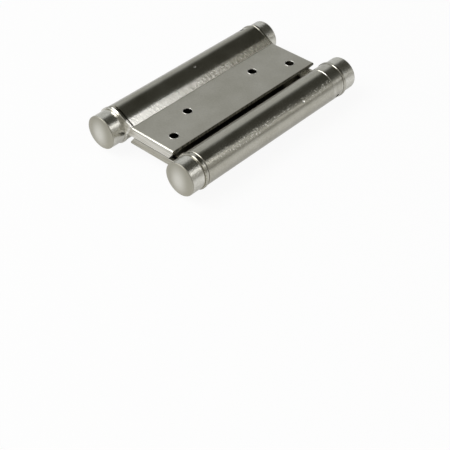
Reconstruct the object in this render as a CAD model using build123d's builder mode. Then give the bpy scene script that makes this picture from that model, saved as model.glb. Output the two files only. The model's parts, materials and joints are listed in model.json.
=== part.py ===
from build123d import *
import math
import os

# A double action spring hinge, folded flat and lying on its frame leaf.
# The two barrels run along Y with their tension collars at the +Y end. The door barrel is at -X and its
# leaf lies on top; the frame barrel is at +X and its leaf lies underneath. The frame side is the door
# side turned half round about the Y axis through the middle of the hinge. Z = 0 is the lowest point.

# Sheet metal and overall sizes, in millimetres
sheet = 2.0
pin_spacing = 63.5
plate_length = 110.0
tube_diameter = 22.0
folded_thickness = 12.0
free_edge_gap = 3.35
ear_proud = 0.4

# Wrap of the leaf round its barrel
root_slope = 31.0
lip_end_angle = 90.0
root_bend_radius = 1.0
wall_bend_radius = 1.7
relief_slit = 0.4
ear_setback = 0.3
wall_end_slant = 3.0
free_corner_radius = 1.5

# Screw holes
screw_hole_diameter = 5.5
countersink_diameter = 8.9
countersink_angle = 90.0
outer_hole_inset = 10.0
inner_hole_inset = 21.0
outer_hole_end = 11.5
inner_hole_step = 22.5

# Spindle, end bushes and caps
spindle_diameter = 8.0
rivet_head_diameter = 10.6
rivet_head_height = 1.3
bush_length = 6.5
cap_diameter = 21.0
cap_length = 11.0
cap_wall = 0.8
cap_dome_rise = 1.4
cap_corner_radius = 0.6

# Tension collar and its tommy holes
collar_length = 9.5
spigot_length = 7.0
tommy_hole_diameter = 2.6
tommy_hole_depth = 5.0
tommy_hole_count = 5
tommy_hole_pitch = 40.0
first_tommy_angle = -2.0

# Thrust washer, spring anchor and torsion spring
washer_thickness = 1.2
washer_inset = 0.4
anchor_length = 7.0
wire = 2.6
spring_turns = 12
spring_leg_length = 4.0
spring_tube_gap = 1.1

# Clearances
running_gap = 0.1
bore_clearance = 0.05
seat_gap = 0.05
wrap_gap = 0.3
leaf_gap = 0.15
leg_gap = 0.15
spring_end_gap = 0.2
seam_gap = 0.3
edge_round = 0.3

# Radii that follow
tube_radius = tube_diameter / 2
tube_bore = tube_radius - sheet
ear_radius = tube_radius + ear_proud
lip_inside = tube_radius + wrap_gap
lip_outside = lip_inside + sheet
shoulder_radius = lip_outside - ear_setback
spindle_radius = spindle_diameter / 2
running_bore = spindle_radius + bore_clearance
spring_radius = tube_bore - spring_tube_gap - wire / 2

# Heights above and distances beside a barrel's axis that follow
pin_height = lip_outside
web_top = folded_thickness / 2
leaf_reach = pin_spacing - ear_radius - free_edge_gap
tangent_angle = math.radians(90 - root_slope)
web_start = (lip_outside - web_top * math.sin(tangent_angle)) / math.cos(tangent_angle)

# Stations along the barrel that follow
leaf_length = 2 * sheet + washer_thickness + plate_length + collar_length + 3 * running_gap
leaf_end = leaf_length / 2
tube_near = -leaf_end + sheet + washer_thickness + running_gap
tube_far = tube_near + plate_length
collar_start = tube_far + running_gap
collar_end = collar_start + collar_length
lip_end = leaf_end - sheet - relief_slit
anchor_face = tube_near + anchor_length
spigot_face = collar_start - spigot_length

sides = {"door": 1, "frame": -1}


def barrel_point(side, y=0.0):
    """A point on a barrel's axis."""
    return Vector(-side * pin_spacing / 2, y, pin_height)


def cross_section(side, y):
    """The plane across a barrel at y: x towards the other barrel, y upwards on the door side."""
    return Plane(origin=barrel_point(side, y), x_dir=(side, 0, 0), z_dir=(0, -1, 0))


def lengthwise(side, end=1):
    """The plane along a barrel's axis: x towards that end of the barrel, y outwards."""
    return Plane(origin=barrel_point(side), x_dir=(0, end, 0), z_dir=(side * end, 0, 0))


def barrel_axis(side):
    return Axis(barrel_point(side), (0, 1, 0))


def rims(piece, radius):
    """The circular edges of a piece that have this radius."""
    circles = piece.edges().filter_by(GeomType.CIRCLE)
    return circles.filter_by(lambda edge: abs(edge.radius - radius) < 0.001)


def save(piece, name):
    piece.part.label = name
    export_step(piece.part, f"parts/{name}.step")


# Centre plate
# One sheet whose two edges are rolled into the barrel tubes. Each tube starts from the plate in a small
# bend and closes on the plate's other face, where a seam is left.
def make_centre_plate():
    with BuildPart() as centre_plate:
        plate_end = Plane(origin=(0, tube_far, pin_height), x_dir=(1, 0, 0), z_dir=(0, -1, 0))
        with BuildSketch(plate_end) as rolled_section:
            Rectangle(pin_spacing, sheet)
            with GridLocations(pin_spacing, 0, 2, 1):
                Circle(tube_radius)
                Circle(tube_bore, mode=Mode.SUBTRACT)
            root_x = pin_spacing / 2 - math.sqrt(tube_radius**2 - (sheet / 2) ** 2)
            for side in sides.values():
                root_corner = (-side * root_x, side * sheet / 2, 0)
                fillet(rolled_section.vertices().sort_by_distance(root_corner)[0], root_bend_radius)
                seam_x = -side * (pin_spacing / 2 - tube_radius)
                with Locations((seam_x, -side * (sheet + seam_gap) / 2)):
                    Rectangle(3 * sheet, seam_gap, mode=Mode.SUBTRACT)
        extrude(amount=plate_length)
        chamfer(rims(centre_plate, tube_radius), edge_round)
    return centre_plate


# Leaf
# One pressing: a flat web, a sloping root and a lip that wraps the barrel, and a wall folded down at each
# end that runs on as an ear round the spindle. The ear's shoulder follows the root and lip, a slit away from
# them and set back a little. The screw holes are countersunk on the side that faces the centre plate.
def make_leaf(side):
    with BuildPart() as leaf:
        with BuildSketch(cross_section(side, lip_end)) as wrap_section:
            with BuildLine():
                web_line = Line((leaf_reach, web_top), (web_start, web_top))
                lip_start = Vector(math.cos(tangent_angle), math.sin(tangent_angle)) * lip_outside
                Line(web_line @ 1, (lip_start.X, lip_start.Y))
                CenterArc((0, 0), lip_outside, 90 - root_slope, lip_end_angle - 90 + root_slope)
                offset(amount=sheet, kind=Kind.INTERSECTION, side=Side.LEFT)
            make_face()
            root_corner = wrap_section.vertices().sort_by_distance((web_start, web_top, 0))[0]
            fillet(root_corner, root_bend_radius)
        extrude(amount=2 * lip_end)
        with BuildSketch(cross_section(side, leaf_end)):
            with Locations(((web_start + leaf_reach) / 2, web_top - sheet / 2)):
                Rectangle(leaf_reach - web_start, sheet)
        extrude(amount=leaf_length)
        shoulder_foot = (shoulder_radius - web_top * math.sin(tangent_angle)) / math.cos(tangent_angle)
        wall_corner = (leaf_reach - wall_end_slant, leaf_gap)
        for wall_y in (leaf_end, -leaf_end + sheet):
            with BuildSketch(cross_section(side, wall_y)) as wall:
                with BuildLine():
                    wrap = CenterArc((0, 0), shoulder_radius, 90, -root_slope)
                    Line(wrap @ 1, (shoulder_foot, web_top))
                    Polyline((shoulder_foot, web_top), (leaf_reach, web_top), (leaf_reach, web_top - sheet))
                    Polyline((leaf_reach, web_top - sheet), wall_corner, (0, leaf_gap), wrap @ 0)
                make_face()
                fillet(wall.vertices().sort_by_distance((*wall_corner, 0))[0], free_corner_radius)
                Circle(ear_radius)
                Circle(spindle_radius + seat_gap, mode=Mode.SUBTRACT)
            extrude(amount=sheet)
        for end in (-1, 1):
            bend_line = cross_section(side, end * leaf_end).from_local_coords((leaf_reach / 2, web_top, 0))
            fillet(leaf.edges().sort_by_distance(bend_line)[0], wall_bend_radius)
        chamfer(rims(leaf, ear_radius) + rims(leaf, shoulder_radius), edge_round)
        inner_face = Plane(
            origin=barrel_point(side) + Vector(0, 0, side * (web_top - sheet)),
            x_dir=(side, 0, 0),
            z_dir=(0, 0, -side),
        )
        outer_hole_y = leaf_end - outer_hole_end
        inner_hole_y = outer_hole_y - inner_hole_step
        with Locations(inner_face):
            for inset, hole_y in ((outer_hole_inset, outer_hole_y), (inner_hole_inset, inner_hole_y)):
                with Locations((leaf_reach - inset, -hole_y), (leaf_reach - inset, hole_y)):
                    CounterSinkHole(
                        screw_hole_diameter / 2,
                        countersink_diameter / 2,
                        depth=sheet,
                        counter_sink_angle=countersink_angle,
                    )
    return leaf


# Spindle
# A rod through both ears, its ends riveted over the end bushes.
def make_spindle(side):
    head_face = leaf_end + bush_length
    head_tip = head_face + rivet_head_height
    head_radius = rivet_head_diameter / 2
    head_rim = (head_face + edge_round, head_radius)
    with BuildPart() as spindle:
        with BuildSketch(lengthwise(side)):
            with BuildLine():
                Polyline((0, 0), (0, spindle_radius), (head_face, spindle_radius))
                Polyline((head_face, spindle_radius), (head_face, head_radius), head_rim)
                TangentArc((head_tip, 0), head_rim, tangent=(0, 1))
                Line((head_tip, 0), (0, 0))
            make_face()
        revolve(axis=barrel_axis(side))
        mirror(about=Plane.XZ)
    return spindle


# End bush
# A turned ring on the spindle outside each ear. The cap is pressed over it.
def make_end_bush(side, end):
    bush_start = leaf_end if end < 0 else leaf_end + bush_length
    bush_radius = cap_diameter / 2 - cap_wall - seat_gap
    with BuildPart() as end_bush:
        with BuildSketch(cross_section(side, end * bush_start)):
            Circle(bush_radius)
            Circle(spindle_radius + seat_gap, mode=Mode.SUBTRACT)
        extrude(amount=bush_length)
        chamfer(rims(end_bush, bush_radius), edge_round)
    return end_bush


# End cap
# A cup drawn from thin sheet with a softly domed end, seated on the ear.
def make_end_cap(side, end):
    cap_radius = cap_diameter / 2
    cap_tip = leaf_end + cap_length
    dome_rim = (cap_tip - cap_dome_rise, cap_radius)
    with BuildPart() as end_cap:
        with BuildSketch(lengthwise(side, end)) as cup_section:
            with BuildLine():
                Polyline((cap_tip, 0), (leaf_end, 0), (leaf_end, cap_radius), dome_rim)
                TangentArc((cap_tip, 0), dome_rim, tangent=(0, 1))
            make_face()
            fillet(cup_section.vertices().sort_by_distance((*dome_rim, 0))[0], cap_corner_radius)
        revolve(axis=barrel_axis(side))
        ear_side = end_cap.faces().sort_by(barrel_axis(side), reverse=end < 0)[0]
        offset(amount=-cap_wall, openings=ear_side)
        fillet(rims(end_cap, cap_radius).sort_by(barrel_axis(side), reverse=end < 0)[0], edge_round)
    return end_cap


# Thrust washer
# A plain ring between the near ear and the tube.
def make_thrust_washer(side):
    with BuildPart() as thrust_washer:
        with BuildSketch(cross_section(side, -leaf_end + sheet + washer_thickness)):
            Circle(tube_radius - washer_inset)
            Circle(running_bore, mode=Mode.SUBTRACT)
        extrude(amount=washer_thickness)
        chamfer(rims(thrust_washer, tube_radius - washer_inset), edge_round)
    return thrust_washer


# Spring anchor
# A plug fixed in the near end of the tube. The tube turns on the spindle in it, and a pocket in its inner
# face takes the near leg of the spring.
def make_spring_anchor(side):
    with BuildPart() as spring_anchor:
        with BuildSketch(cross_section(side, anchor_face)):
            Circle(tube_bore - seat_gap)
            Circle(running_bore, mode=Mode.SUBTRACT)
        extrude(amount=anchor_length)
        with BuildSketch(cross_section(side, anchor_face)):
            with Locations((spring_radius, -wire / 2)):
                Rectangle(wire + 2 * leg_gap, wire + 2 * leg_gap)
        extrude(amount=spring_leg_length + leg_gap, mode=Mode.SUBTRACT)
    return spring_anchor


# Torsion spring
# Square wire wound round the spindle, with a leg at each end that stands along the barrel: the near one in
# the anchor, the far one in the tension collar.
def make_torsion_spring(side):
    coil_start = anchor_face + spring_end_gap + wire / 2
    coil_height = spigot_face - anchor_face - 2 * spring_end_gap - wire
    leg_reach = wire / 2 + spring_end_gap + spring_leg_length
    coil_base = Plane(origin=barrel_point(side, coil_start), x_dir=(side, 0, 0), z_dir=(0, 1, 0))
    coil = coil_base * Helix(coil_height / spring_turns, coil_height, spring_radius)
    with BuildPart() as torsion_spring:
        with BuildSketch(Plane(origin=coil @ 0, x_dir=(side, 0, 0), z_dir=coil % 0)):
            Rectangle(wire, wire)
        sweep(path=coil, is_frenet=True)
        with BuildSketch(cross_section(side, coil_start)):
            with Locations((spring_radius, -wire / 2)):
                Rectangle(wire, wire)
        extrude(amount=leg_reach)
        with BuildSketch(cross_section(side, coil_start + coil_height)):
            with Locations((spring_radius, wire / 2)):
                Rectangle(wire, wire)
        extrude(amount=-leg_reach)
    return torsion_spring


# Tension collar
# A turned collar whose spigot runs in the far end of the tube and holds the far leg of the spring. A tommy
# bar in its radial holes winds the spring.
def make_tension_collar(side):
    collar_middle = collar_start + collar_length / 2
    with BuildPart() as tension_collar:
        with BuildSketch(cross_section(side, collar_end)):
            Circle(tube_radius)
        extrude(amount=collar_length)
        chamfer(rims(tension_collar, tube_radius), edge_round)
        with BuildSketch(cross_section(side, collar_start)):
            Circle(tube_bore - bore_clearance)
        extrude(amount=spigot_length)
        with BuildSketch(cross_section(side, collar_end)):
            Circle(running_bore)
        extrude(amount=collar_length + spigot_length, mode=Mode.SUBTRACT)
        with BuildSketch(cross_section(side, spigot_face)):
            with Locations((spring_radius, wire / 2)):
                Rectangle(wire + 2 * leg_gap, wire + 2 * leg_gap)
        extrude(amount=-(spring_leg_length + leg_gap), mode=Mode.SUBTRACT)
        for step in range(tommy_hole_count):
            angle = first_tommy_angle + step * tommy_hole_pitch
            outwards = Vector(1, 0, 0).rotate(Axis.Z, angle)
            mouth = cross_section(side, collar_middle).from_local_coords(outwards * tube_radius)
            direction = mouth - barrel_point(side, collar_middle)
            with Locations(Plane(origin=mouth, z_dir=direction)):
                Hole(tommy_hole_diameter / 2, depth=tommy_hole_depth)
    return tension_collar


os.makedirs("parts", exist_ok=True)
save(make_centre_plate(), "centre_plate")
for name, side in sides.items():
    save(make_leaf(side), f"{name}_leaf")
    save(make_spindle(side), f"{name}_spindle")
    save(make_thrust_washer(side), f"{name}_thrust_washer")
    save(make_spring_anchor(side), f"{name}_spring_anchor")
    save(make_torsion_spring(side), f"{name}_torsion_spring")
    save(make_tension_collar(side), f"{name}_tension_collar")
    for end_name, end in (("near", -1), ("far", 1)):
        save(make_end_bush(side, end), f"{name}_{end_name}_bush")
        save(make_end_cap(side, end), f"{name}_{end_name}_cap")
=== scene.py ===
import json
import math

import bpy
from mathutils import Matrix, Vector


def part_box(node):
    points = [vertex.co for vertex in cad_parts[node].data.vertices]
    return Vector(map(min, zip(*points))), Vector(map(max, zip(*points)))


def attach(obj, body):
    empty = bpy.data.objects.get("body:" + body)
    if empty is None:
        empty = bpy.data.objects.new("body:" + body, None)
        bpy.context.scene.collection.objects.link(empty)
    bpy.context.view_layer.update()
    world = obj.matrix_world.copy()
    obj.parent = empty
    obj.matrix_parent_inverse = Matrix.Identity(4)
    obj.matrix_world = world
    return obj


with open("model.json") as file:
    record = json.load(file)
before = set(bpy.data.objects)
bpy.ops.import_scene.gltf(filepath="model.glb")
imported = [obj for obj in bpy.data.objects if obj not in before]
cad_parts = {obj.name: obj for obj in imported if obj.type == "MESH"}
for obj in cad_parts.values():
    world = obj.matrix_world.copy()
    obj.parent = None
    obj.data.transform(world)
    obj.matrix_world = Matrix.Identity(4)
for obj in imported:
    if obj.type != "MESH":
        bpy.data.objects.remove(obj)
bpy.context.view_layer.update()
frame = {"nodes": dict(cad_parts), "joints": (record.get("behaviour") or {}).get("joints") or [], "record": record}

nodes = frame["nodes"]


# Centre plate: 2 mm steel sheet whose two edges are rolled into the barrel tubes, then plated in nickel.
# The plating is glossy over the fine pebbled skin that rolling left, with draw lines along it, a patchy
# line of flecks high on each tube and one knock, both also painted bright as painted highlights. A span
# below is where a mask starts and where it is whole.
joints = {joint["name"]: joint for joint in frame["joints"]}
pin_x, _, pin_z = joints["frame_swing"]["pos_m"]
tube_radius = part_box("centre_plate")[1][2] - pin_z
roll_span = (0.018, 0.022)
flecks_begin = (0.0045, 0.0065)
flecks_end = (0.0078, 0.0095)
knock_round = math.radians(38.9)
knock_x = pin_x + tube_radius * math.cos(knock_round)
knock_z = pin_z + tube_radius * math.sin(knock_round)
tube_knock = (knock_x, 0.024, knock_z)
knock_span = (0.0003, 0.0011)
knock_depth = 0.00015
pebble_height = 0.000015
rolled_pebble_height = 0.00002
draw_line_height = 0.000012
fleck_height = 0.00009
nickel_dark = (0.36, 0.345, 0.285, 1)
nickel_light = (0.60, 0.585, 0.53, 1)
tube_glint = (0.95, 0.94, 0.9, 1)


class Value:
    """A shader socket that takes part in arithmetic."""

    def __init__(self, finish, socket):
        self.finish = finish
        self.socket = socket

    def maths(self, operation, *terms):
        return self.finish.node("ShaderNodeMath", {"operation": operation}, *terms)

    def __add__(self, other):
        return self.maths("ADD", self, other)

    def __radd__(self, other):
        return self.maths("ADD", other, self)

    def __sub__(self, other):
        return self.maths("SUBTRACT", self, other)

    def __rsub__(self, other):
        return self.maths("SUBTRACT", other, self)

    def __mul__(self, other):
        return self.maths("MULTIPLY", self, other)

    def __rmul__(self, other):
        return self.maths("MULTIPLY", other, self)

    def __pow__(self, other):
        return self.maths("POWER", self, other)

    def __abs__(self):
        return self.maths("ABSOLUTE", self)

    def least(self, other):
        return self.maths("MINIMUM", self, other)

    def most(self, other):
        return self.maths("MAXIMUM", self, other)

    def root(self):
        return self.maths("SQRT", self)

    def rises(self, low, high):
        """0 below low, 1 above high, eased between."""
        settings = {"interpolation_type": "SMOOTHSTEP"}
        return self.finish.node("ShaderNodeMapRange", settings, self, low, high, 0.0, 1.0)


class Finish:
    """The nodes that feed the shader of one material or world."""

    def __init__(self, owner, **constants):
        owner.use_nodes = True
        self.owner = owner
        self.tree = owner.node_tree
        self.shader = self.tree.nodes.get("Principled BSDF") or self.tree.nodes["Background"]
        for socket, amount in constants.items():
            self.shader.inputs[socket.replace("_", " ")].default_value = amount

    def node(self, kind, settings, *values, output=0, **named):
        made = self.tree.nodes.new(kind)
        for setting, choice in settings.items():
            setattr(made, setting, choice)
        enabled = [socket for socket in made.inputs if socket.enabled]
        by_name = [(made.inputs[name], value) for name, value in named.items()]
        for socket, value in [*zip(enabled, values), *by_name]:
            if isinstance(value, Value):
                self.tree.links.new(value.socket, socket)
            else:
                socket.default_value = value
        return Value(self, made.outputs[output])

    def place(self):
        """The X, Y and Z of a point on the piece, in metres."""
        point = self.node("ShaderNodeTexCoord", {}, output="Object")
        return [self.node("ShaderNodeSeparateXYZ", {}, point, output=axis) for axis in "XYZ"]

    def noise(self, x, y, z, detail=2.0, roughness=0.5):
        point = self.node("ShaderNodeCombineXYZ", {}, x, y, z)
        return self.node("ShaderNodeTexNoise", {}, point, Scale=1.0, Detail=detail, Roughness=roughness)

    def knock(self, point, middle):
        """1 in the middle of a small dent and 0 past its edge."""
        x, y, z = ((along - centre) ** 2 for along, centre in zip(point, middle))
        return 1 - (x + y + z).root().rises(*knock_span)

    def blend(self, amount, first, second):
        return self.node("ShaderNodeMix", {"data_type": "RGBA"}, amount, first, second, output=2)

    def feed(self, **sockets):
        for socket, value in sockets.items():
            self.tree.links.new(value.socket, self.shader.inputs[socket.replace("_", " ")])

    def relief(self, height):
        """Raises the surface by a height in metres."""
        self.feed(Normal=self.node("ShaderNodeBump", {}, Strength=1.0, Distance=1.0, Height=height))

    def lay_on(self, *pieces):
        for piece in pieces:
            piece.data.materials.clear()
            piece.data.materials.append(self.owner)


plate = Finish(bpy.data.materials.new("rolled_nickel"), Metallic=1.0)
x, y, z = plate.place()
up = z - pin_z
pebble = plate.noise(x * 1400, y * 1200, z * 1400, 2.0, 0.6)
draw_line = plate.noise(x * 900, y * 25, z * 900)
cloud = plate.noise(x * 90, y * 60, z * 90)
rolled = abs(x).rises(*roll_span)
fleck_line = up.rises(*flecks_begin) * (1 - up.rises(*flecks_end)) * cloud.rises(0.4, 0.55)
fleck = plate.noise(x * 900, y * 900, z * 900, 1.0).rises(0.58, 0.72) * fleck_line
knock = plate.knock((x, y, z), tube_knock)
tarnish = cloud * 0.6 + pebble.rises(0.3, 0.7) * 0.35
skin = plate.blend(tarnish, nickel_dark, nickel_light)
# Painted highlights: the flecks and the knock are painted towards tube_glint.
shine = (fleck * 0.45 + knock).least(1)
plate.feed(Base_Color=plate.blend(shine, skin, tube_glint), Roughness=0.14 + cloud * 0.14)
pebbling = pebble * (rolled * rolled_pebble_height + pebble_height)
plate.relief(pebbling + draw_line * draw_line_height + fleck * fleck_height - knock * knock_depth)
plate.lay_on(nodes["centre_plate"])


# Door and frame leaves: one 2 mm pressing each, a flat web with a sloping root, a lip that wraps the barrel
# and a wall at each end. The press left the web satin, the lip glossy and the root scored across. The free
# edge is sheared, with upright shear marks. The slope's lower part catches the light over a gentle crown.
# The scored root is painted brighter as a painted sheen, paler towards the near end as a painted highlight
# and darker towards the far end as painted shade. The end walls are painted lighter on the door leaf and
# darker on the frame leaf as painted light and shade, and the lip's knock is painted with a glint.
sides = (("door", 1), ("frame", -1))
mounts = {mount["name"]: mount for mount in frame["record"]["mounts"]}
web_top = mounts["door_outer_screws"]["pos_m"][2]
free_edge, leaf_end, lip_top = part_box("door_leaf")[1]
lip_radius = lip_top - pin_z
root_slope = math.radians(31)
bend_across = (lip_radius - (web_top - pin_z) * math.cos(root_slope)) / math.sin(root_slope)
root_length = bend_across * math.cos(root_slope) - (web_top - pin_z) * math.sin(root_slope)
off_root_span = (0.0002, 0.0006)
root_end_span = (root_length - 0.00019, root_length + 0.00001)
web_span = (root_length - 0.00039, root_length + 0.00031)
wall_span = (leaf_end - 0.0009, leaf_end - 0.0001)
edge_span = (free_edge - 0.00012, free_edge - 0.00004)
score_span = (0.0015, 0.006)
painted_highlight_span = (-0.06, 0.01)
painted_far_shade_span = (-0.01, 0.055)
lip_knock_round = math.radians(67.7)
lip_knock = (lip_radius * math.cos(lip_knock_round), 0.0015, lip_radius * math.sin(lip_knock_round))
crown_line = 0.0048
crown_fall = 0.16
crown_softness = 0.0015
grain_height = 0.000014
score_depth = 0.00016
nickel_bright = (0.75, 0.735, 0.685, 1)
score_glint = (0.97, 0.96, 0.92, 1)
shear_dark = (0.1, 0.097, 0.08, 1)


def pressed_nickel(name, side, painted_wall_light):
    """Nickel for the door leaf, side 1, or the frame leaf, side -1, with its end walls painted lighter or darker
    as painted light and shade.
    """
    leaf = Finish(bpy.data.materials.new(name), Metallic=1.0)
    x, y, z = leaf.place()
    across = x * side + pin_x
    up = (z - pin_z) * side
    down_root = across * math.cos(root_slope) - up * math.sin(root_slope)
    off_root = abs(across * math.sin(root_slope) + up * math.cos(root_slope) - lip_radius)
    root = (1 - off_root.rises(*off_root_span)) * (1 - down_root.rises(*root_end_span))
    web = down_root.rises(*web_span)
    wall = abs(y).rises(*wall_span)
    edge = (x * side).rises(*edge_span)
    score = leaf.noise(x * 500, y * 1300, z * 500, 3.0, 0.6)
    shear = leaf.noise(x * 80, y * 2400, z * 120)
    grain = leaf.noise(x * 1200, y * 1200, z * 1200, 2.0, 0.6)
    cloud = leaf.noise(x * 70, y * 60, z * 70)
    streak = leaf.noise(x * 30, y * 30, z * 3000).rises(0.4, 0.6) * wall
    scored = root * down_root.rises(*score_span)
    # Painted highlight: the scored root is painted pale towards the near end.
    painted_highlight = scored * (1 - y.rises(*painted_highlight_span))
    # The knock is a real dent, and it is also painted towards score_glint as a painted glint.
    knock = leaf.knock((across, y, up), lip_knock)
    # The scored root is painted brighter as a painted sheen over its score marks, on top of the cloud and grain
    # tone.
    shade = cloud * 0.5 + grain.rises(0.3, 0.7) * 0.15 + scored * score.rises(0.4, 0.6) * 0.6
    # Painted shade: the scored root is painted darker towards the far end, and the end walls are painted lighter
    # or darker as painted light and shade over their real streaks.
    shade = shade - scored * y.rises(*painted_far_shade_span) * 0.6 + wall * painted_wall_light + streak * 0.6
    shine = (painted_highlight * 0.8 + knock).least(1)
    metal = leaf.blend(shine, leaf.blend(shade, nickel_dark, nickel_bright), score_glint)
    marks = leaf.blend(shear.rises(0.4, 0.6), shear_dark, nickel_dark)
    roughness = 0.14 + cloud * 0.1 + web * 0.14 + scored * 0.08 + edge * 0.4
    leaf.feed(Base_Color=leaf.blend(edge, metal, marks), Roughness=roughness)
    bend_in = down_root.least(root_length) - crown_line
    crown = ((bend_in ** 2 + crown_softness ** 2).root() + bend_in) * -crown_fall
    leaf.relief(crown + grain * grain_height + score * scored * score_depth - knock * knock_depth)
    return leaf


# The door leaf's end walls are painted lighter and the frame leaf's darker, as painted light and shade.
pressed_nickel("door_leaf_nickel", 1, 0.15).lay_on(nodes["door_leaf"])
pressed_nickel("frame_leaf_nickel", -1, -0.45).lay_on(nodes["frame_leaf"])


# Hole rims: the punch left a low rolled rim, bright where it was burnished, round each screw hole on the
# leaf's outer face. One rim is shaped and copied to each hole of a leaf.
millimetre = 0.001
hole_radius = mounts["door_outer_screws"]["dims"]["hole_r_mm"] * millimetre
rim_round = 0.00024
rim_sunk = 0.00006
rim_middle = hole_radius + 0.00022
rim_grain_height = 0.00003
burnished_bright = (0.9, 0.89, 0.86, 1)
bpy.ops.object.select_all(action="DESELECT")
bpy.ops.mesh.primitive_torus_add(
    location=(0, 0, 0),
    major_segments=64,
    minor_segments=16,
    major_radius=rim_middle,
    minor_radius=rim_round,
)
rim = bpy.context.active_object
bpy.ops.object.mode_set(mode="EDIT")
bpy.ops.mesh.select_all(action="SELECT")
bpy.ops.mesh.bisect(plane_co=(0, 0, rim_sunk), plane_no=(0, 0, 1), clear_inner=True, threshold=0.000001)
bpy.ops.mesh.select_all(action="DESELECT")
bpy.ops.mesh.select_non_manifold()
bpy.ops.mesh.bridge_edge_loops()
bpy.ops.mesh.select_all(action="SELECT")
bpy.ops.transform.translate(value=(0, 0, -rim_sunk))
bpy.ops.mesh.normals_make_consistent(inside=False)
bpy.ops.object.mode_set(mode="OBJECT")
bpy.ops.object.shade_smooth_by_angle(angle=math.radians(50))

burnished = Finish(bpy.data.materials.new("burnished_nickel"), Metallic=1.0)
x, y, z = burnished.place()
nicks = burnished.noise(x * 1400, y * 1400, z * 1400)
rim_colour = burnished.blend(nicks, nickel_light, burnished_bright)
burnished.feed(Base_Color=rim_colour, Roughness=0.12 + nicks * 0.16)
burnished.relief(nicks * rim_grain_height)
burnished.lay_on(rim)
for name, side in sides:
    rims = []
    face_out = Matrix.Rotation(0 if side > 0 else math.pi, 4, "Y")
    for row in ("outer", "inner"):
        screws = mounts[f"{name}_{row}_screws"]
        hole_x, _, face_z = screws["pos_m"]
        row_end = screws["dims"]["spacing_y_mm"] * millimetre / 2
        for hole_y in (row_end, -row_end):
            copy = rim.copy()
            copy.data = rim.data.copy()
            copy.data.transform(Matrix.Translation((hole_x, hole_y, face_z)) @ face_out)
            bpy.context.scene.collection.objects.link(copy)
            rims.append(copy)
    bpy.ops.object.select_all(action="DESELECT")
    for copy in rims:
        copy.select_set(True)
    bpy.context.view_layer.objects.active = rims[0]
    bpy.ops.object.join()
    rims[0].name = f"{name}_hole_rims"
    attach(rims[0], f"{name}_leaf")
bpy.data.objects.remove(rim)


# Spindles, end bushes and spring anchors: plain turned steel, bright, with the tool's fine rings round
# their axes. The spindle's ends are riveted over the bushes, and the anchor is fixed in the tube.
ring_height = 0.000006
steel_dark = (0.34, 0.34, 0.33, 1)
steel_light = (0.62, 0.62, 0.60, 1)


def off_pin(x, z, side):
    """How far a point is from its barrel's axis, in metres."""
    return ((x + side * pin_x) ** 2 + (z - pin_z) ** 2).root()


def turned_metal(name, side, smooth, rough, dark_tone, light_tone):
    turned = Finish(bpy.data.materials.new(name), Metallic=1.0)
    x, y, z = turned.place()
    ring = turned.noise(off_pin(x, z, side) * 5000, y * 5000, 0.0)
    stain = turned.noise(x * 300, y * 300, z * 300)
    roughness = smooth + ring * (rough - smooth)
    turned.feed(Base_Color=turned.blend(stain, dark_tone, light_tone), Roughness=roughness)
    turned.relief(ring * ring_height)
    return turned


for name, side in sides:
    steel = turned_metal(f"{name}_turned_steel", side, 0.18, 0.42, steel_dark, steel_light)
    for piece in ("spindle", "near_bush", "far_bush", "spring_anchor"):
        steel.lay_on(nodes[f"{name}_{piece}"])


# Thrust washers and tension collars: rings turned from steel and nickel-plated, loose on the spindle. The
# washer runs between ear and tube. The collar holds the spring's far end and is turned with a tommy bar.
for name, side in sides:
    nickel_ring = turned_metal(f"{name}_turned_nickel", side, 0.14, 0.3, nickel_dark, nickel_bright)
    nickel_ring.lay_on(nodes[f"{name}_thrust_washer"], nodes[f"{name}_tension_collar"])


# Torsion springs: square spring wire wound round each spindle, oiled dark, with draw marks that follow the
# wire round the coil.
wire_mark_height = 0.000008
spring_dark = (0.12, 0.115, 0.11, 1)
spring_light = (0.26, 0.25, 0.24, 1)
for name, side in sides:
    coil = Finish(bpy.data.materials.new(f"{name}_spring_steel"), Metallic=1.0)
    x, y, z = coil.place()
    draw = coil.noise(off_pin(x, z, side) * 6000, y * 6000, 0.0)
    oil = coil.noise(x * 200, y * 200, z * 200)
    coil.feed(Base_Color=coil.blend(oil, spring_dark, spring_light), Roughness=0.22 + draw * 0.25)
    coil.relief(draw * wire_mark_height)
    coil.lay_on(nodes[f"{name}_torsion_spring"])


# End caps: cups drawn from thin sheet and nickel-plated, pressed over the end bushes. The draw left their
# sides frosted, and the domed ends are smoother, painted pale in the middle as a painted highlight, with
# the corner band round the domed end painted darker as painted shade.
cap_low, cap_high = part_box("door_far_cap")
cap_radius = (cap_high[2] - cap_low[2]) / 2
dome_rise = 0.0014
dome_edge = cap_high[1] - dome_rise
end_face_span = (dome_edge - 0.0002, dome_edge + 0.0002)
corner_begins = (dome_edge - 0.0007, dome_edge - 0.0004)
corner_ends = (dome_edge - 0.0001, dome_edge + 0.0002)
highlight_fade_span = (0.001, cap_radius + 0.001)
highlight_narrowing = 2.2
frost_height = 0.00004
cap_bright = (0.88, 0.87, 0.82, 1)

cap = Finish(bpy.data.materials.new("drawn_nickel"), Metallic=1.0)
x, y, z = cap.place()
frost = cap.noise(x * 1200, y * 1200, z * 1200, 2.0, 0.6)
cloud = cap.noise(x * 150, y * 150, z * 150)
out = ((abs(x) - pin_x) ** 2 * highlight_narrowing + (z - pin_z) ** 2).root()
end_face = abs(y).rises(*end_face_span)
# Painted shade: the corner band between the side and the domed end is painted darker.
corner = abs(y).rises(*corner_begins) * (1 - abs(y).rises(*corner_ends))
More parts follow.
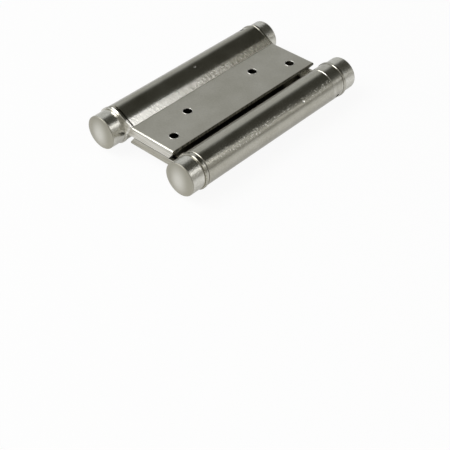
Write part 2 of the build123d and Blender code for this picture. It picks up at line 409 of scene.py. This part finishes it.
# Painted highlight: the domed end is painted pale in the middle, stretched upright.
painted_highlight = end_face * (1.1 - out.rises(*highlight_fade_span))
side_frost = (1 - end_face) * (0.22 + cloud * 0.5 + frost.rises(0.3, 0.7) * 0.25)
pale = (side_frost + painted_highlight * 0.55) * (1 - corner * 0.8)
roughness = 0.2 + frost * 0.1 + end_face * 0.08 + corner * 0.2
cap.feed(Base_Color=cap.blend(pale, nickel_dark, cap_bright), Roughness=roughness)
cap.relief(frost * frost_height * (1 - end_face * 0.7))
for name in ("door", "frame"):
    cap.lay_on(nodes[f"{name}_near_cap"], nodes[f"{name}_far_cap"])


# Floor: a white sheet under the hinge. The camera sees it white, and in the metal's reflections it glows
# brighter near the hinge than far off, a painted pool of light.
floor_gap = 0.0002
near_span = (0.07, 0.3)
bpy.ops.object.select_all(action="DESELECT")
bpy.ops.mesh.primitive_plane_add(size=6.0, location=(0, 0, -floor_gap))
floor = bpy.context.active_object
floor.name = "floor"
paper = Finish(bpy.data.materials.new("paper"), Metallic=0.0, Roughness=0.9, Base_Color=(0.9, 0.9, 0.9, 1))
x, y, z = paper.place()
near = 1 - (x ** 2 + y ** 2).root().rises(*near_span)
seen = paper.node("ShaderNodeLightPath", {}, output="Is Camera Ray")
mirrored = paper.node("ShaderNodeLightPath", {}, output="Is Glossy Ray")
# Painted pool of light: the glow that reflections see is brighter near the hinge.
white = paper.blend(seen.most(near * 0.6 + 0.4), (0, 0, 0, 1), (1, 1, 1, 1))
glow = paper.node("ShaderNodeEmission", {}, white, 1.0)
lit = Value(paper, paper.shader.outputs[0])
bright = paper.node("ShaderNodeMixShader", {}, seen * 0.92 + mirrored * 0.4, lit, glow)
paper.tree.links.new(bright.socket, paper.tree.nodes["Material Output"].inputs[0])
paper.lay_on(floor)


# Room: pale walls, a little brighter on the left, with a dark part of the ceiling behind the hinge that
# draws the dark bands along the barrels.
wall_dim = (0.38, 0.375, 0.35, 1)
wall_pale = (0.61, 0.62, 0.615, 1)
ceiling_dark = (0.055, 0.055, 0.045, 1)
dark_span = (math.cos(math.radians(40)), math.cos(math.radians(22)))
left_span = (-0.6, 0.8)


def towards(azimuth, elevation):
    """A direction of length 1, from angles in degrees."""
    azimuth = math.radians(azimuth)
    elevation = math.radians(elevation)
    level = math.cos(elevation)
    return Vector((math.cos(azimuth) * level, math.sin(azimuth) * level, math.sin(elevation)))


room = Finish(bpy.data.worlds.new("room"))
bpy.context.scene.world = room.owner
way = room.node("ShaderNodeTexCoord", {}, output="Generated")
dot_product = {"operation": "DOT_PRODUCT"}
darkness = room.node("ShaderNodeVectorMath", dot_product, way, towards(77, 48), output="Value")
leftness = room.node("ShaderNodeVectorMath", dot_product, way, towards(160, 0), output="Value")
walls = room.blend(leftness.rises(*left_span), wall_dim, wall_pale)
room.feed(Color=room.blend(darkness.rises(*dark_span), walls, ceiling_dark))


# Lamps: one large soft lamp at the front left, a smaller one at the back right and a faint one low beside
# it, all turned to the hinge from the same distance.
lamp_distance = 1.5


def softbox(name, direction, size, power):
    lamp = bpy.data.lights.new(name, "AREA")
    lamp.shape = "RECTANGLE"
    lamp.size, lamp.size_y = size
    lamp.energy = power
    piece = bpy.data.objects.new(name, lamp)
    bpy.context.scene.collection.objects.link(piece)
    piece.location = direction * lamp_distance
    piece.rotation_mode = "QUATERNION"
    piece.rotation_quaternion = direction.to_track_quat("Z", "Y")


softbox("front_left_lamp", towards(-125, 50), (1.2, 1.0), 14)
softbox("back_right_lamp", towards(26, 39), (0.6, 0.6), 2.0)
softbox("low_lamp", towards(41, 16), (0.25, 0.25), 0.1)


# Camera: at the photograph's viewing angle, from the front right and above. It aims in front of the hinge,
# because the hinge stands high in the photograph's frame.
view_azimuth = 42.24
view_elevation = 41.39
view_roll = -0.27
view_distance = 0.55408
aim = Vector((0.07528, -0.08286, pin_z))
photo_width = 450
focal_pixels = 1063.38
sensor_width = 36.0
away = towards(view_azimuth - 90, view_elevation)
camera_data = bpy.data.cameras.new("camera")
camera_data.sensor_width = sensor_width
camera_data.lens = focal_pixels / photo_width * sensor_width
camera = bpy.data.objects.new("camera", camera_data)
bpy.context.scene.collection.objects.link(camera)
rolled_over = Matrix.Rotation(-math.radians(view_roll), 4, "Z")
facing = away.to_track_quat("Z", "Y").to_matrix().to_4x4() @ rolled_over
camera.matrix_world = Matrix.Translation(aim + away * view_distance) @ facing
bpy.context.scene.camera = camera
bpy.context.scene.view_settings.view_transform = "Standard"
